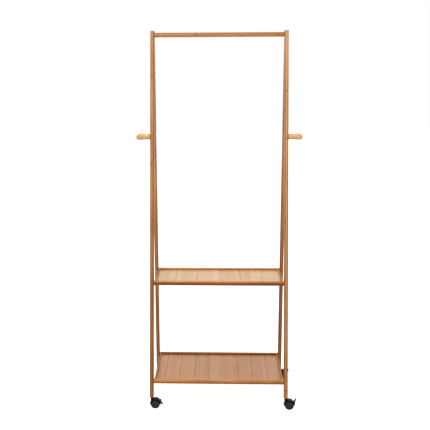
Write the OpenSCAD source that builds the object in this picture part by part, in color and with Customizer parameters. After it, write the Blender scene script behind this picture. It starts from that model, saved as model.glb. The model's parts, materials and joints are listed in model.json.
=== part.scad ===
// Rolling clothes rack: two bamboo A-frames joined by a round hanging rail and two slatted
// shelves, with a coat peg on each side and four hooded twin-wheel swivel casters with brakes.
// +X is the right side, +Y the back, +Z up. The origin is on the floor under the rack's centre.

/* [Frame] */
// Width across the outside of the legs
frame_w = 600; // [450:10:900]
// Height of the leg tops above the floor
frame_h = 1633; // [1200:1:2000]
// Front-to-back distance between the leg centre lines at their feet
foot_spread = 422; // [300:1:600]
// Front-to-back distance between the leg centre lines at their tops
apex_spread = 16; // [8:1:20]
// Leg thickness from side to side
leg_w = 17; // [16:0.5:24]
// Leg depth, square to its slope
leg_d = 26; // [24:0.5:36]
// Rounding of the long edges of the legs
leg_r = 4; // [1:0.5:6]

/* [Hanging rail] */
// Diameter of the hanging rail
hang_rail_d = 20; // [16:0.5:28]
// Drop of the rail's centre line below the leg tops
hang_rail_drop = 17; // [14:1:24]

/* [Shelves] */
// Height of the lower shelf's rail centre lines
lower_shelf_z = 118; // [90:1:300]
// Height of the middle shelf's rail centre lines
mid_shelf_z = 543; // [400:1:900]
// Height of a shelf rail
rail_h = 18; // [15:0.5:30]
// Front-to-back thickness of a front or rear shelf rail
rail_d = 20; // [16:0.5:26]
// Width of a side rail
side_rail_w = 6; // [4:0.5:12]
// Gap between a side rail and the legs
side_gap = 2; // [0.5:0.5:6]
// Rounding of the long edges of the rails
rail_r = 3; // [0.5:0.5:4]
// Thickness of a slat
slat_t = 7; // [6:0.5:9]
// Height of a slat's underside above the underside of its rails
slat_rise = 3; // [2:0.5:5]
// Gap between neighbouring slats
slat_gap = 0.3; // [0.2:0.1:4]
// Chamfer along a slat's upper edges
slat_chamfer = 0.6; // [0.2:0.1:1.5]
// Thickness of the tongue on each end of a slat
tongue_t = 4; // [3:0.5:5]
// Length of the tongue on each end of a slat
tongue_l = 3.5; // [2:0.5:4]
// Width taken by the outermost slat at the left of the lower shelf
lower_first_w = 36.5; // [20:0.5:60]
// Width taken by the outermost slat at the right of the lower shelf
lower_last_w = 57.5; // [20:0.5:80]
// Width taken by each outermost slat of the middle shelf
mid_end_w = 82.5; // [40:0.5:110]

/* [Coat pegs] */
// Drop of the pegs' centre lines below the leg tops
peg_drop = 457; // [150:1:600]
// Length of a peg, measured from the leg
peg_l = 62; // [50:1:90]
// Diameter of a peg's neck
peg_neck_d = 24; // [16:0.5:30]
// How far the fullest part of a peg's head stands out beyond its neck
peg_swell = 2.4; // [1:0.1:4]
// Narrowing from there to the rounded tip
peg_taper = 1.7; // [1:0.1:4]

/* [Fasteners] */
// Diameter of the frame bolts
bolt_d = 6; // [5:0.5:8]
// Diameter of a frame bolt's head
bolt_head_d = 12; // [10:0.5:14]
// Thickness of a frame bolt's head
bolt_head_t = 3; // [2:0.5:4]
// Distance from a leg to the barrel nut in a rail's end
nut_reach = 26; // [20:1:40]
// Diameter of a barrel nut
nut_d = 10; // [9:0.5:12]
// Length of a barrel nut
nut_l = 12; // [10:0.5:14]
// Diameter of the dowels across the mitre at the top of the legs
dowel_d = 6; // [5:0.5:8]
// Length of those dowels
dowel_l = 22; // [16:1:26]
// Shank diameter of a peg screw
screw_d = 4.5; // [4:0.5:6]
// Length of a peg screw
screw_l = 45; // [35:1:50]
// Outer diameter of the threaded insert in the foot of a leg
insert_d = 11; // [10:0.5:12]
// Length of that insert
insert_l = 16; // [12:1:24]

/* [Casters] */
// Wheel diameter
wheel_d = 40; // [33:0.5:60]
// Height of the leg feet above the tops of the wheels
foot_gap = 11; // [9:0.5:20]
// Width of one wheel
wheel_t = 9; // [7.5:0.5:12]
// Distance of the axle behind the swivel axis
trail = 15.5; // [13:0.5:19]
// Thickness of the web between the two wheels
web_t = 10; // [9:0.5:14]
// Wall of the hood over the wheels
hood_wall = 2; // [1.5:0.1:3]
// Axle diameter
axle_d = 4; // [3:0.5:5]
// Diameter of the pin that the caster swivels on
pin_d = 6; // [5:0.5:7]
// Diameter of the threaded stud above the pin
stud_d = 8; // [6:0.5:9]
// Diameter of the round pockets in a wheel's hub
pocket_d = 5.4; // [4:0.2:6]
// Diameter of the boss round the pin
boss_d = 11; // [9:0.5:16]
// Length of the brake lever from its pivot
lever_l = 17; // [14:0.5:22]
// Half the width of the brake lever
lever_half_w = 9; // [7:0.5:9.5]
// Angle of a lowered, locked brake lever above the horizontal
lever_down = -57; // [-62:1:-45]
// Angle of a raised, free brake lever above the horizontal
lever_up = 64; // [40:1:70]

/* [Clearances] */
// Radial clearance of a bolt or nut in wood
wood_clear = 0.2; // [0.1:0.05:0.5]
// Radial clearance of a turning pin or axle in its bore
run_clear = 0.05; // [0.02:0.01:0.1]
// Gap between caster pieces that move past each other
move_gap = 0.5; // [0.3:0.1:1]

/* [Hidden] */
CORNERS = ["front_left", "front_right", "rear_left", "rear_right"];
SIDE = [-1, 1, -1, 1];
END = [-1, -1, 1, 1];
LEVER_ANGLE = [lever_down, lever_up, lever_up, lever_up];
LEFT = -1;
RIGHT = 1;
FRONT = -1;
REAR = 1;
MID_SLATS = 6;
LOWER_SLATS = 9;

EPS = 0.01;
ROUND_FN = 48;
SMALL_FN = 32;

// Legs
caster_h = wheel_d + foot_gap;
rise = frame_h - caster_h;
slope = (foot_spread - apex_spread) / 2 / rise;
lean = atan(slope);
leg_x = (frame_w - leg_w) / 2;
inner_x = frame_w / 2 - leg_w;
function leg_y(z) = apex_spread / 2 + slope * (frame_h - z);
foot_y = leg_y(caster_h);
cut_margin = 40;

// Hanging rail and mitre at the top
hang_rail_z = frame_h - hang_rail_drop;
counterbore_d = bolt_head_d + 2 * wood_clear;
counterbore_t = bolt_head_t + 0.5;
bolt_hole_d = bolt_d + 2 * wood_clear;
bolt_l = leg_w - counterbore_t + nut_reach + 8;
dowel_step = (bolt_d + dowel_d) / 2 + 4;

// Shelves
side_rail_x = inner_x - side_gap - side_rail_w / 2;
slat_field = 2 * (inner_x - side_gap - side_rail_w) - 1;
tongue_clear = 0.3;
groove_h = tongue_t + tongue_clear;
groove_d = tongue_l + 0.5;
function rail_gap(z) = 2 * leg_y(z) - rail_d;

// Coat pegs
peg_z = frame_h - peg_drop;
peg_head_r = peg_neck_d / 2 + peg_swell;
peg_tip_r = peg_head_r - peg_taper;
peg_head_x = peg_l - peg_tip_r - 11;
peg_head_lift = 0.5;
peg_tip_drop = 1.8;
peg_y = leg_y(peg_z);
screw_head_r = screw_d;
screw_head_t = screw_head_r - screw_d / 2;

// Casters
wheel_r = wheel_d / 2;
hood_in_r = wheel_r + 2 * move_gap;
hood_r = hood_in_r + hood_wall;
hood_floor = wheel_r - 2;
half_w = web_t / 2 + move_gap + wheel_t;
collar_t = 1.5;
collar_d = boss_d;
stem_gap = 0.3;
boss_top = caster_h - collar_t - stem_gap;
pin_foot = wheel_r + 7;
stud_l = insert_l - 1;
axle_head_d = axle_d + 1.6;
axle_head_t = 1.2;
axle_pocket_d = axle_head_d + 0.9;
axle_pocket_t = 1.9;
pivot_angle = 26;
pivot_r = hood_r + 1.2;
pivot_x = trail + pivot_r * cos(pivot_angle);
pivot_z = wheel_r + pivot_r * sin(pivot_angle);
barrel_r = 2.8;
cam_r = 1.4;
cam_reach = pivot_r - wheel_r - 0.4 - cam_r;
lever_slot_r = cam_reach + cam_r + 0.35;
lug_r = 4;
trunnion_r = 1.5;
lever_t = 2.6;

// A rectangle centred on the origin with round corners.
module rounded_rect(w, h, r) {
    square([w - 2 * r, h], center = true);
    square([w, h - 2 * r], center = true);
    for (x = [-1, 1], y = [-1, 1])
        translate([x * (w / 2 - r), y * (h / 2 - r)])
            circle(r, $fn = SMALL_FN);
}

// Mirrors what is built for the rear right corner into any of the four.
module corner(side, end) {
    mirror([side < 0 ? 1 : 0, 0, 0])
        mirror([0, end < 0 ? 1 : 0, 0])
            children();
}

// A cylinder along +X from the child's origin.
module x_rod(d, l, fn = ROUND_FN) {
    rotate([0, 90, 0])
        cylinder(d = d, h = l, $fn = fn);
}

// A cylinder along Y, centred on the origin.
module y_rod(d, l, fn = ROUND_FN) {
    rotate([90, 0, 0])
        cylinder(d = d, h = l, center = true, $fn = fn);
}

// The bolt's way through the rear right leg, with its counterbore in the outer face.
module bolt_way(y, z) {
    translate([inner_x - EPS, y, z])
        x_rod(bolt_hole_d, leg_w + 2 * EPS);
    translate([frame_w / 2 - counterbore_t, y, z])
        x_rod(counterbore_d, counterbore_t + EPS);
}

// The way up for a barrel nut, from below a rail to just past its centre line.
module nut_way(depth) {
    cylinder(d = nut_d + 2 * wood_clear, h = depth + nut_l / 2, $fn = SMALL_FN);
}

// The four frame legs, mitred against each other at the top and cut level at the foot.
module leg(side, end) {
    color("peru")
        corner(side, end)
            difference() {
                intersection() {
                    translate([leg_x, foot_y, caster_h])
                        rotate([lean, 0, 0])
                            translate([0, 0, -cut_margin])
                                linear_extrude(rise / cos(lean) + 2 * cut_margin)
                                    rounded_rect(leg_w, leg_d, leg_r);
                    translate([inner_x - EPS, 0, caster_h])
                        cube([leg_w + 2 * EPS, foot_spread, rise]);
                }
                bolt_way(0, hang_rail_z);
                bolt_way(leg_y(mid_shelf_z), mid_shelf_z);
                bolt_way(leg_y(lower_shelf_z), lower_shelf_z);
                apex_dowel_pair();
                translate([leg_x, foot_y, caster_h - EPS])
                    cylinder(d = insert_d, h = insert_l + 1, $fn = ROUND_FN);
                if (end == FRONT)
                    translate([inner_x, peg_y, peg_z])
                        peg_screw_shape(leg_w, wood_clear);
            }
}

// Two dowels across the mitre plane of the right-hand leg pair.
module apex_dowel_pair() {
    for (step = [-1, 1])
        translate([leg_x, 0, hang_rail_z + step * dowel_step])
            y_rod(dowel_d, dowel_l, SMALL_FN);
}

module apex_dowels() {
    color("burlywood")
        for (side = [LEFT, RIGHT])
            corner(side, REAR)
                apex_dowel_pair();
}

module hanging_rail() {
    color("peru")
        difference() {
            translate([-inner_x, 0, hang_rail_z])
                x_rod(hang_rail_d, 2 * inner_x);
            for (side = [LEFT, RIGHT])
                corner(side, REAR)
                    translate([inner_x - nut_reach - 10, 0, hang_rail_z]) {
                        x_rod(bolt_hole_d, nut_reach + 10 + EPS, SMALL_FN);
                        translate([10, 0, -hang_rail_d])
                            nut_way(hang_rail_d);
                    }
        }
}

// A front or rear shelf rail, grooved on its inner side for the tongues of the slats.
module cross_rail(z, end) {
    color("sienna")
        mirror([0, end < 0 ? 1 : 0, 0])
            difference() {
                translate([-inner_x, leg_y(z), z])
                    rotate([90, 0, 90])
                        linear_extrude(2 * inner_x)
                            rounded_rect(rail_d, rail_h, rail_r);
                translate([-slat_field / 2 - 0.5, leg_y(z) - rail_d / 2 - EPS, z - rail_h / 2 + slat_rise])
                    cube([slat_field + 1, groove_d + EPS, groove_h]);
                for (side = [LEFT, RIGHT])
                    corner(side, REAR)
                        translate([inner_x - nut_reach - 10, leg_y(z), z]) {
                            x_rod(bolt_hole_d, nut_reach + 10 + EPS, SMALL_FN);
                            translate([10, 0, -rail_h])
                                nut_way(rail_h);
                        }
            }
}

// A thin side rail between the front and rear rails of a shelf.
module side_rail(z, side) {
    color("chocolate")
        translate([side * side_rail_x, rail_gap(z) / 2, z])
            rotate([90, 0, 0])
                linear_extrude(rail_gap(z))
                    rounded_rect(side_rail_w, rail_h, side_rail_w / 4);
}

// One slat from x0 to x1, with a tongue on each end that lies in the rails' grooves.
module slat(x0, x1, z) {
    l = rail_gap(z) - 0.6;
    low = z - rail_h / 2 + slat_rise;
    w = x1 - x0;
    translate([x0, l / 2, low])
        rotate([90, 0, 0])
            linear_extrude(l)
                polygon([
                    [0, 0], [w, 0], [w, slat_t - slat_chamfer], [w - slat_chamfer, slat_t],
                    [slat_chamfer, slat_t], [0, slat_t - slat_chamfer]
                ]);
    for (end = [FRONT, REAR])
        translate([x0, end * (l / 2 + tongue_l / 2 - EPS / 2) - tongue_l / 2 - EPS / 2, low])
            cube([w, tongue_l + EPS, tongue_t]);
}

// Slat number i of n; the two outermost have their own widths and the rest share what is left.
module numbered_slat(i, n, first_w, last_w, z) {
    pitch = (slat_field - first_w - last_w) / (n - 2);
    joint = first_w - slat_field / 2 + (i - 1) * pitch;
    x0 = i == 1 ? -slat_field / 2 : joint - pitch + slat_gap / 2;
    x1 = i == n ? slat_field / 2 : joint - slat_gap / 2;
    slat(x0, x1, z);
}

module mid_slat(i) {
    color("wheat")
        numbered_slat(i, MID_SLATS, mid_end_w, mid_end_w, mid_shelf_z);
}

module lower_slat(i) {
    color("tan")
        numbered_slat(i, LOWER_SLATS, lower_first_w, lower_last_w, lower_shelf_z);
}

// A rod between two balls of different size, drawn as their exact tangent cone.
module ball_link(r1, r2, l) {
    tilt = asin((r1 - r2) / l);
    sphere(r1, $fn = ROUND_FN);
    translate([0, 0, l])
        sphere(r2, $fn = ROUND_FN);
    translate([0, 0, r1 * sin(tilt)])
        cylinder(
            r1 = r1 * cos(tilt), r2 = r2 * cos(tilt), h = l + (r2 - r1) * sin(tilt), $fn = ROUND_FN
        );
}

// A turned coat peg: straight neck, fuller head and a rounded tip that dips a little.
module peg(side) {
    tip_x = peg_l - peg_tip_r;
    dip = atan((peg_head_lift + peg_tip_drop) / (tip_x - peg_head_x));
    neck_r = peg_neck_d / 2;
    color("burlywood")
        corner(side, FRONT)
            translate([frame_w / 2, peg_y, peg_z])
                difference() {
                    union() {
                        rotate([0, 90, 0])
                            rotate_extrude($fn = ROUND_FN)
                                polygon([
                                    [0, 0], [neck_r - 1, 0], [neck_r, 1], [neck_r, peg_head_x / 2],
                                    [peg_head_r - 1.2, peg_head_x - 6], [peg_head_r - 0.6, peg_head_x],
                                    [0, peg_head_x]
                                ]);
                        translate([peg_head_x, 0, peg_head_lift])
                            rotate([0, 90 + dip, 0])
                                ball_link(peg_head_r, peg_tip_r, (tip_x - peg_head_x) / cos(dip));
                    }
                    translate([-leg_w, 0, 0])
                        peg_screw_shape(screw_l, 0);
                }
}

// A countersunk wood screw along +X; a short straight length is its way through the leg.
module peg_screw_shape(l, extra) {
    r = screw_d / 2 + extra;
    head_r = screw_head_r + extra;
    rotate([0, 90, 0])
        rotate_extrude($fn = SMALL_FN)
            polygon(l > leg_w
                ? [[0, 0], [head_r, 0], [r, screw_head_t], [r, l - screw_d], [0, l]]
                : [[0, -EPS], [head_r, -EPS], [r, screw_head_t], [r, l + EPS], [0, l + EPS]]);
}

module peg_screws() {
    cross_l = screw_d;
    color("silver")
        for (side = [LEFT, RIGHT])
            corner(side, FRONT)
                translate([inner_x, peg_y, peg_z])
                    difference() {
                        peg_screw_shape(screw_l, 0);
                        for (turn = [0, 90])
                            rotate([turn, 0, 0])
                                translate([-EPS, -cross_l / 2, -0.5])
                                    cube([1.4, cross_l, 1]);
                    }
}

// The ten places where a frame bolt enters, as [side, end, y, z].
function bolt_places() = concat(
    [for (side = [LEFT, RIGHT]) [side, REAR, 0, hang_rail_z]],
    [for (side = [LEFT, RIGHT], end = [FRONT, REAR], z = [mid_shelf_z, lower_shelf_z])
        [side, end, leg_y(z), z]]
);

module frame_bolts() {
    color("dimgray")
        for (p = bolt_places())
            corner(p[0], p[1])
                translate([frame_w / 2 - counterbore_t, p[2], p[3]])
                    difference() {
                        union() {
                            x_rod(bolt_head_d, bolt_head_t);
                            translate([-bolt_l + EPS, 0, 0])
                                x_rod(bolt_d, bolt_l, SMALL_FN);
                        }
                        translate([bolt_head_t - 2, 0, 0])
                            x_rod(bolt_head_d / 3, 2 + EPS, 6);
                    }
}

module barrel_nuts() {
    color("silver")
        for (p = bolt_places())
            corner(p[0], p[1])
                translate([inner_x - nut_reach, p[2], p[3]])
                    difference() {
                        cylinder(d = nut_d, h = nut_l, center = true, $fn = SMALL_FN);
                        translate([-nut_d, 0, 0])
                            x_rod(bolt_d, 2 * nut_d, SMALL_FN);
                        translate([-nut_d, -0.5, -nut_l / 2 - EPS])
                            cube([2 * nut_d, 1, 1]);
                    }
}

// Threaded inserts in the feet of the legs.
module leg_inserts() {
    color("goldenrod")
        for (k = [0 : 3])
            translate([SIDE[k] * leg_x, END[k] * foot_y, caster_h])
                difference() {
                    cylinder(d = insert_d, h = insert_l, $fn = ROUND_FN);
                    translate([0, 0, -EPS])
                        cylinder(d = stud_d, h = insert_l + 2 * EPS, $fn = SMALL_FN);
                }
}

// Fixed stems: a stud in the insert, a collar under the leg and the pin that the caster turns on.
module caster_stems() {
    color("silver")
        for (k = [0 : 3])
            translate([SIDE[k] * leg_x, END[k] * foot_y, 0]) {
                translate([0, 0, pin_foot])
                    cylinder(d = pin_d, h = caster_h - pin_foot, $fn = SMALL_FN);
                translate([0, 0, caster_h - collar_t])
                    cylinder(d = collar_d, h = collar_t, $fn = ROUND_FN);
                translate([0, 0, caster_h - EPS])
                    cylinder(d = stud_d, h = stud_l, $fn = SMALL_FN);
            }
}

// Puts a caster piece, drawn about the swivel axis, under leg k.
module under_leg(k) {
    translate([SIDE[k] * leg_x, END[k] * foot_y, 0])
        children();
}

// The hood over both wheels, the web between them, the boss for the pin and the brake's lugs.
module housing(k) {
    color("#2a2a2a")
        under_leg(k)
            difference() {
                union() {
                    intersection() {
                        translate([trail, 0, wheel_r])
                            y_rod(2 * hood_r, 2 * half_w);
                        translate([trail - 2 * hood_r, -half_w, hood_floor])
                            cube([4 * hood_r, 2 * half_w, 2 * hood_r]);
                    }
                    translate([trail, 0, wheel_r])
                        y_rod(2 * (axle_d / 2 + 4), web_t);
                    translate([0, 0, pin_foot])
                        cylinder(d = boss_d, h = boss_top - pin_foot, $fn = ROUND_FN);
                    translate([pivot_x, 0, pivot_z])
                        y_rod(2 * lug_r, 2 * (half_w - 1), SMALL_FN);
                }
                for (side = [-1, 1])
                    translate([trail, side * (web_t / 2 + half_w), wheel_r])
                        y_rod(2 * hood_in_r, 2 * half_w);
                translate([0, 0, pin_foot - 1])
                    cylinder(d = pin_d + 2 * run_clear, h = caster_h, $fn = SMALL_FN);
                translate([trail, 0, wheel_r])
                    y_rod(axle_d, 2 * web_t, SMALL_FN);
                translate([pivot_x, 0, pivot_z]) {
                    y_rod(2 * lever_slot_r, 2 * (lever_half_w + 0.3), SMALL_FN);
                    y_rod(2 * (trunnion_r + run_clear), 4 * half_w, SMALL_FN);
                }
            }
}

// The axle is pressed into the web; its heads keep the wheels on.
module axle(k) {
    span = 2 * (half_w - axle_pocket_t + stem_gap);
    color("#3a3a3a")
        under_leg(k)
            translate([trail, 0, wheel_r]) {
                y_rod(axle_d, span + EPS, SMALL_FN);
                for (side = [-1, 1])
                    translate([0, side * (span + axle_head_t) / 2, 0])
                        y_rod(axle_head_d, axle_head_t, SMALL_FN);
            }
}

// A wheel with a raised tyre, a sunk hub disc and five round pockets in its outer face.
module wheel(k, side) {
    in_y = web_t / 2 + move_gap;
    rim_r = wheel_r - 4.2;
    edge = 1.2;
    sink = 0.9;
    pockets = 5;
    pocket_deep = 3;
    pocket_at = (axle_pocket_d + pocket_d) / 2 + 2.3;
    bore_r = axle_d / 2 + run_clear;
    color("#3a3a3c")
        under_leg(k)
            translate([trail, 0, wheel_r])
                mirror([0, side < 0 ? 1 : 0, 0])
                    difference() {
                        rotate([-90, 0, 0])
                            rotate_extrude($fn = 96)
                                polygon([
                                    [bore_r, in_y], [wheel_r - edge, in_y], [wheel_r, in_y + edge],
                                    [wheel_r, half_w - edge], [wheel_r - edge, half_w],
                                    [rim_r + sink, half_w], [rim_r, half_w - sink],
                                    [axle_pocket_d / 2 + 2, half_w - sink],
                                    [axle_pocket_d / 2 + 1.2, half_w - 0.2],
                                    [axle_pocket_d / 2, half_w - 0.2],
                                    [axle_pocket_d / 2, half_w - axle_pocket_t],
                                    [bore_r, half_w - axle_pocket_t]
                                ]);
                        for (i = [1 : pockets])
                            rotate([0, 90 + i * 360 / pockets, 0])
                                translate([pocket_at, half_w - sink, 0])
                                    y_rod(pocket_d, 2 * pocket_deep, SMALL_FN);
                    }
}

// The brake lever: a pad on a barrel that turns in the hood's lugs, with a cam for the treads.
module brake_lever(k) {
    toe_r = 2.4;
    toe_lift = 0.9;
    color("#202020")
        under_leg(k)
            translate([pivot_x, 0, pivot_z])
                rotate([0, -LEVER_ANGLE[k], 0]) {
                    y_rod(2 * barrel_r, 2 * lever_half_w, SMALL_FN);
                    y_rod(2 * trunnion_r, 2 * (half_w - 1.2), SMALL_FN);
                    rotate([0, -(180 + pivot_angle - lever_down), 0])
                        translate([cam_reach, 0, 0])
                            y_rod(2 * cam_r, 2 * lever_half_w - 3, SMALL_FN);
                    translate([0, -lever_half_w + 1, -lever_t / 2])
                        cube([lever_l - toe_r, 2 * lever_half_w - 2, lever_t]);
                    translate([lever_l - toe_r, 0, toe_lift])
                        y_rod(2 * toe_r, 2 * lever_half_w - 2, SMALL_FN);
                }
}

for (k = [0 : 3]) {
    leg(SIDE[k], END[k]);
    housing(k);
    axle(k);
    wheel(k, FRONT);
    wheel(k, REAR);
    brake_lever(k);
}
hanging_rail();
peg(LEFT);  // left_peg
peg(RIGHT);  // right_peg
cross_rail(mid_shelf_z, FRONT);  // mid_front_rail
cross_rail(mid_shelf_z, REAR);  // mid_rear_rail
side_rail(mid_shelf_z, LEFT);  // mid_left_rail
side_rail(mid_shelf_z, RIGHT);  // mid_right_rail
cross_rail(lower_shelf_z, FRONT);  // lower_front_rail
cross_rail(lower_shelf_z, REAR);  // lower_rear_rail
side_rail(lower_shelf_z, LEFT);  // lower_left_rail
side_rail(lower_shelf_z, RIGHT);  // lower_right_rail
for (i = [1 : MID_SLATS]) {
    mid_slat(i);
}
for (i = [1 : LOWER_SLATS]) {
    lower_slat(i);
}
frame_bolts();
barrel_nuts();
apex_dowels();
peg_screws();
leg_inserts();
caster_stems();
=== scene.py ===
"""Looks of the rolling clothes rack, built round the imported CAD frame. Metres, +X right, +Y back, +Z up."""
import json
import math

import bmesh
import bpy
from mathutils import Matrix, Vector


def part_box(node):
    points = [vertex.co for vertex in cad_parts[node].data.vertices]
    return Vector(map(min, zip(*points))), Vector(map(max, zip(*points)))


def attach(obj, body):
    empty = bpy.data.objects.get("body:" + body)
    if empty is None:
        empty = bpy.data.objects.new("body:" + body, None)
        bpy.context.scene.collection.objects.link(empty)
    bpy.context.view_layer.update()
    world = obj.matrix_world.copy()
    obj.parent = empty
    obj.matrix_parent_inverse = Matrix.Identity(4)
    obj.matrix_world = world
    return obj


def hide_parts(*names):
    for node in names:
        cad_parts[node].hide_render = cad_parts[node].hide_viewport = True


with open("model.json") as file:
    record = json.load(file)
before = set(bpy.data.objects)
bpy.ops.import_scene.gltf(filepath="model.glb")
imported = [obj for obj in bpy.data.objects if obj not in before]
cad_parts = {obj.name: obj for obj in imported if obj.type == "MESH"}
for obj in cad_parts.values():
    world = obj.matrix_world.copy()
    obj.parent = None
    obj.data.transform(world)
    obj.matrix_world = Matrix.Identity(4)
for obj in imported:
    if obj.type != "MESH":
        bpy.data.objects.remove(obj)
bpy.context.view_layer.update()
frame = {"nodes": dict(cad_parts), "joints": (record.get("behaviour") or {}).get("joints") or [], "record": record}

MM = 0.001
bodies = frame["record"]["behaviour"]["bodies"]

CORNERS = ("front_left", "front_right", "rear_left", "rear_right")
SHELVES = ("mid", "lower")
WHEELS = ("front", "back")


# ---------------------------------------------------------------- measures from the frame

def box_centre(node):
    low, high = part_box(node)
    return (low + high) / 2


def box_size(node):
    low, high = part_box(node)
    return high - low


def count_nodes(start):
    return sum(1 for node in frame["nodes"] if node.startswith(start))


def joint_place(name):
    found = [j for j in frame["joints"] if j["name"] == name]
    return Vector(found[0]["pos_m"])


MID_RAIL = box_centre("mid_front_rail")
LOWER_RAIL = box_centre("lower_front_rail")
LEG_SLOPE = (MID_RAIL.y - LOWER_RAIL.y) / (MID_RAIL.z - LOWER_RAIL.z)
LEAN = math.atan(LEG_SLOPE)
LEG_WIDTH = box_size("front_left_leg").x
RAIL_HEIGHT = box_size("mid_front_rail").z
HANGING_RAIL_D = box_size("hanging_rail").z


# ---------------------------------------------------------------- material building

def srgb(red, green, blue):
    """A colour given as 0 to 255 screen values, as the linear values that shaders use."""
    def linear(value):
        value /= 255
        return value / 12.92 if value <= 0.04045 else ((value + 0.055) / 1.055) ** 2.4
    return linear(red), linear(green), linear(blue), 1.0


class Graph:
    """The nodes of one material. Each method adds a node and gives its output."""

    def __init__(self, name):
        self.material = bpy.data.materials.new(name)
        self.material.use_nodes = True
        self.nodes = self.material.node_tree.nodes
        self.links = self.material.node_tree.links
        self.shader = self.nodes["Principled BSDF"]

    def add(self, kind, inputs=(), **settings):
        node = self.nodes.new(kind)
        for key, value in settings.items():
            setattr(node, key, value)
        for key, value in dict(inputs).items():
            self.put(node.inputs[key], value)
        return node

    def put(self, socket, value):
        if isinstance(value, bpy.types.NodeSocket):
            self.links.new(value, socket)
        else:
            socket.default_value = value

    def surface(self, **values):
        """Sets the shader's inputs, named with underscores for spaces."""
        for key, value in values.items():
            self.put(self.shader.inputs[key.replace("_", " ")], value)

    def math(self, operation, *values):
        node = self.add("ShaderNodeMath", operation=operation)
        for socket, value in zip(node.inputs, values):
            self.put(socket, value)
        return node.outputs[0]

    def vector(self, operation, a, b):
        node = self.add("ShaderNodeVectorMath", operation=operation)
        self.put(node.inputs[0], a)
        self.put(node.inputs[1], b)
        return node.outputs[0]

    def object_place(self, turn=(0, 0, 0), move=(0, 0, 0)):
        """The point on the piece, turned and moved into the material's own axes."""
        place = self.add("ShaderNodeTexCoord").outputs["Object"]
        node = self.add("ShaderNodeMapping", {"Vector": place, "Rotation": turn, "Location": move})
        return node.outputs[0]

    def split(self, vector):
        return self.add("ShaderNodeSeparateXYZ", {0: vector}).outputs

    def join(self, x, y, z):
        return self.add("ShaderNodeCombineXYZ", {0: x, 1: y, 2: z}).outputs[0]

    def noise(self, vector, scale=1.0, detail=2.0, roughness=0.5):
        inputs = {"Vector": vector, "Scale": scale, "Detail": detail, "Roughness": roughness}
        return self.add("ShaderNodeTexNoise", inputs).outputs[0]

    def chance(self, x, y, z):
        """Three even random values from 0 to 1 that depend on three numbers."""
        node = self.add("ShaderNodeTexWhiteNoise", {"Vector": self.join(x, y, z)})
        return self.split(node.outputs["Color"])

    def fade(self, value, start, end, low=0.0, high=1.0):
        """A smooth step: low up to start, high from end on."""
        inputs = {0: value, 1: start, 2: end, 3: low, 4: high}
        return self.add("ShaderNodeMapRange", inputs, interpolation_type="SMOOTHSTEP").outputs[0]

    def scale_to(self, value, low, high):
        """0 to 1 stretched to low to high."""
        return self.math("MULTIPLY_ADD", value, high - low, low)

    def ramp(self, value, *stops):
        """A colour ramp; stops are (place, colour)."""
        node = self.add("ShaderNodeValToRGB", {0: value})
        elements = node.color_ramp.elements
        while len(elements) < len(stops):
            elements.new(0.5)
        for element, (place, colour) in zip(elements, stops):
            element.position = place
            element.color = colour
        return node.outputs[0]

    def mix(self, factor, a, b, blend="MIX"):
        node = self.add("ShaderNodeMix", data_type="RGBA", blend_type=blend)
        for index, value in ((0, factor), (6, a), (7, b)):
            self.put(node.inputs[index], value)
        return node.outputs[2]

    def bump(self, height, depth, strength=1.0):
        inputs = {"Height": height, "Distance": depth, "Strength": strength}
        return self.add("ShaderNodeBump", inputs).outputs[0]


# ---------------------------------------------------------------- bamboo

FIBRE_STRETCH = 0.02
BUNDLE_STRETCH = 0.035
CLOUD_STRETCH = 0.35
RING_WOBBLE = 1.5 * MM
RING_NEAR, RING_FAR = 0.6 * MM, 2.2 * MM
HALO_NEAR, HALO_FAR = 1 * MM, 11 * MM
FIBRE_BEND = 1.2 * MM
GLUE_WIDTH = 0.16 * MM
# Painted shade along the gaps between slat boards: how far it reaches, and its faintest and strongest.
GAP_SHADE_NEAR, GAP_SHADE_FAR = 0.5 * MM, 1.6 * MM
FAINT_GAP_SHADE, STRONG_GAP_SHADE = 0.35, 0.85
BUNDLE_TINT = (0.66, 0.52, 0.42, 1)
GLUE_TINT = (0.50, 0.36, 0.27, 1)
HALO_TINT = (0.80, 0.70, 0.60, 1)
RING_TINT = (0.42, 0.27, 0.18, 1)
# The colour of the painted shade in the gaps between boards.
GAP_SHADE_TINT = (0.40, 0.24, 0.15, 1)


class Grain:
    """How the strips of a bamboo piece lie.

    The axes run across, through and along the strips, after a turn about X (lean) and a move.
    Strips are this wide and start at strips_from. With strips given, that many fill the piece.
    With board given, the piece is made of boards of that width.
    """

    def __init__(
        self, across, through, along, strip, strips_from, strips=0, lean=0.0, move=(0, 0, 0), board=0.0
    ):
        self.axes = (across, through, along)
        self.strip = strip
        self.strips_from = strips_from
        self.strips = strips
        self.lean = lean
        self.move = move
        self.board = board


class Look:
    """The colours of a bamboo piece and how they vary.

    strips: how far one strip's tone differs from the next
    core: how much lighter the middle strip is than the outer ones
    tilt: how much lighter the last strip is than the first
    tall: painted light, how much the tone rises from the rack's foot to its top, standing for the top lit more
    from above
    marks: the strength of the joint rings, and pitch the distance between them
    """

    def __init__(self, dark, middle, light, strips=0.5, core=0.0, tilt=0.0, marks=1.0, pitch=0.28, painted_top_light=0.0):
        self.colours = (dark, middle, light)
        self.strips = strips
        self.core = core
        self.tilt = tilt
        self.marks = marks
        self.pitch = pitch
        self.painted_top_light = painted_top_light


class BambooPlace:
    """Where a point of the surface lies among a piece's strips."""

    def __init__(self, g, grain, seed):
        self.point = g.object_place(turn=(grain.lean, 0, 0), move=grain.move)
        parts = g.split(self.point)
        self.across, self.through, self.along = (parts["XYZ".index(axis)] for axis in grain.axes)
        self.count = g.math("DIVIDE", g.math("SUBTRACT", self.across, grain.strips_from), grain.strip)
        self.strip = g.math("FLOOR", self.count)
        self.in_strip = g.math("SUBTRACT", self.count, self.strip)
        self.own = g.chance(self.strip, seed, 0.0)


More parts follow.
